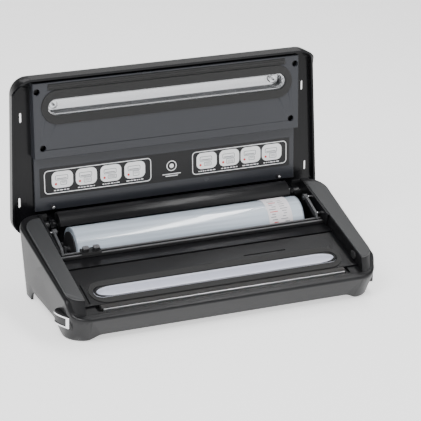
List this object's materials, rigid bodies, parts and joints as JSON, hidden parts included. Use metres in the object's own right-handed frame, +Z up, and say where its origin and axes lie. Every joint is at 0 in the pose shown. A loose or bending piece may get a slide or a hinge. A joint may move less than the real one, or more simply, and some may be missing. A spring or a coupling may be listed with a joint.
{
  "type": "vacuum sealer",
  "caption": "Countertop vacuum sealer with a hinged lid, gasketed trough, sealing bar, built-in film roll and sliding bag cutter.",
  "frame": {"origin": "centre of the bounding box on the ground, with the lid open", "axes": "+Z up, +X to the right as seen by the user, the user stands on the -Y side"},
  "size_m": [0.399, 0.2202, 0.2525],
  "materials": {
    "body_black": "satin moulded ABS with fine grain",
    "arm_grey": "satin soft-touch",
    "lid_black": "polished",
    "panel_slate": "glossy",
    "deck_black": "satin",
    "foam_rubber": "matt closed cell",
    "tray_white": "smooth",
    "bar_black": "matt heat resistant",
    "wire_metal": "flat strip",
    "tape_brown": "coated glass cloth",
    "clamp_metal": "bright edge",
    "pin_steel": "ground",
    "card": "plain card",
    "film_clear": "translucent embossed film, wound",
    "band_paper": "printed paper",
    "plug_plastic": "moulded",
    "cradle_grey": "moulded",
    "cutter_black": "ribbed",
    "blade_steel": "ground edge",
    "chrome_trim": "polished",
    "feet_rubber": "matt",
    "screw_black": "blackened",
    "motor_can": "plated",
    "pump_plastic": "moulded",
    "core_iron": "varnished laminations and winding",
    "board_green": "solder mask",
    "hose_silicone": "translucent",
    "inlet_black": "moulded",
    "window_clear": "clear plastic",
    "label_print": "printed foil",
    "button_grey": "satin",
    "lamp": "translucent"
  },
  "bodies": {
    "base": {"base_shell": "body_black", "bottom_cover": "body_black", "rubber_feet": "feet_rubber", "case_screws": "screw_black", "upper_deck": "deck_black", "arm_cover_left": "arm_grey", "arm_cover_right": "arm_grey", "lower_gasket": "foam_rubber", "drip_tray": "tray_white", "seal_bar": "bar_black", "heating_wire": "wire_metal", "release_tape": "tape_brown", "tape_clamp": "clamp_metal", "lid_catch_left": "cutter_black", "lid_catch_right": "cutter_black", "hinge_pin_left": "pin_steel", "hinge_pin_right": "pin_steel", "cutter_pivot_pins": "pin_steel", "roll_cradle_left": "cradle_grey", "roll_cradle_right": "cradle_grey", "pump_motor": "motor_can", "pump_head": "pump_plastic", "transformer": "core_iron", "control_board": "board_green", "vacuum_hose": "hose_silicone", "power_inlet": "inlet_black", "microswitch": "inlet_black"},
    "lid": {"lid_shell": "lid_black", "chamber_block": "panel_slate", "upper_gasket": "foam_rubber", "window": "window_clear", "press_strip": "foam_rubber", "chamber_screws": "screw_black", "lower_panel": "panel_slate", "instruction_label": "label_print", "lid_posts": "cutter_black", "post_caps": "pin_steel", "hinge_lug_left": "lid_black", "hinge_lug_right": "lid_black", "control_plate": "arm_grey", "status_lamps": "lamp", "button_board": "board_green"},
    "film_roll_body": {"roll_core": "card", "film_roll": "film_clear", "roll_band": "band_paper", "roll_plug_left": "plug_plastic", "roll_plug_right": "plug_plastic"},
    "cutter_bar": {"cutter_rail": "cutter_black", "cutter_arm_left": "cradle_grey", "cutter_arm_right": "cradle_grey", "cutter_studs": "pin_steel"},
    "cutter_slider_body": {"cutter_slider": "cutter_black", "cutter_blade": "blade_steel"},
    "release_left": {"release_button_left": "cutter_black", "release_trim_left": "chrome_trim"},
    "release_right": {"release_button_right": "cutter_black", "release_trim_right": "chrome_trim"},
    "vacuum_button_body": {"vacuum_button": "button_grey"},
    "seal_button_body": {"seal_button": "button_grey"},
    "manual_button_body": {"manual_button": "button_grey"}
  },
  "joints": [
    {"name": "lid_hinge", "type": "hinge", "parent": "base", "child": "lid", "pos_m": [0, 0.069, 0.0748], "axis": [1, 0, 0], "range_deg": [0, 107]},
    {"name": "roll_spin", "type": "hinge", "parent": "base", "child": "film_roll_body", "pos_m": [0, 0.0375, 0.0555], "axis": [1, 0, 0], "continuous": true},
    {"name": "cutter_bar_lift", "type": "hinge", "parent": "base", "child": "cutter_bar", "pos_m": [0, 0.038, 0.0795], "axis": [1, 0, 0], "range_deg": [-60, 0]},
    {"name": "cutter_slide", "type": "slide", "parent": "cutter_bar", "child": "cutter_slider_body", "axis": [1, 0, 0], "range_m": [0, 0.25]},
    {"name": "release_left_press", "type": "slide", "parent": "base", "child": "release_left", "axis": [1, 0, 0], "range_m": [0, 0.0025], "stiffness_N_per_m": 600},
    {"name": "release_right_press", "type": "slide", "parent": "base", "child": "release_right", "axis": [-1, 0, 0], "range_m": [0, 0.0025], "stiffness_N_per_m": 600},
    {"name": "vacuum_button_press", "type": "slide", "parent": "lid", "child": "vacuum_button_body", "axis": [0, -0.998, 0.0635], "range_m": [0, 0.0008], "stiffness_N_per_m": 1500},
    {"name": "seal_button_press", "type": "slide", "parent": "lid", "child": "seal_button_body", "axis": [0, -0.998, 0.0635], "range_m": [0, 0.0008], "stiffness_N_per_m": 1500},
    {"name": "manual_button_press", "type": "slide", "parent": "lid", "child": "manual_button_body", "axis": [0, -0.998, 0.0635], "range_m": [0, 0.0008], "stiffness_N_per_m": 1500}
  ]
}
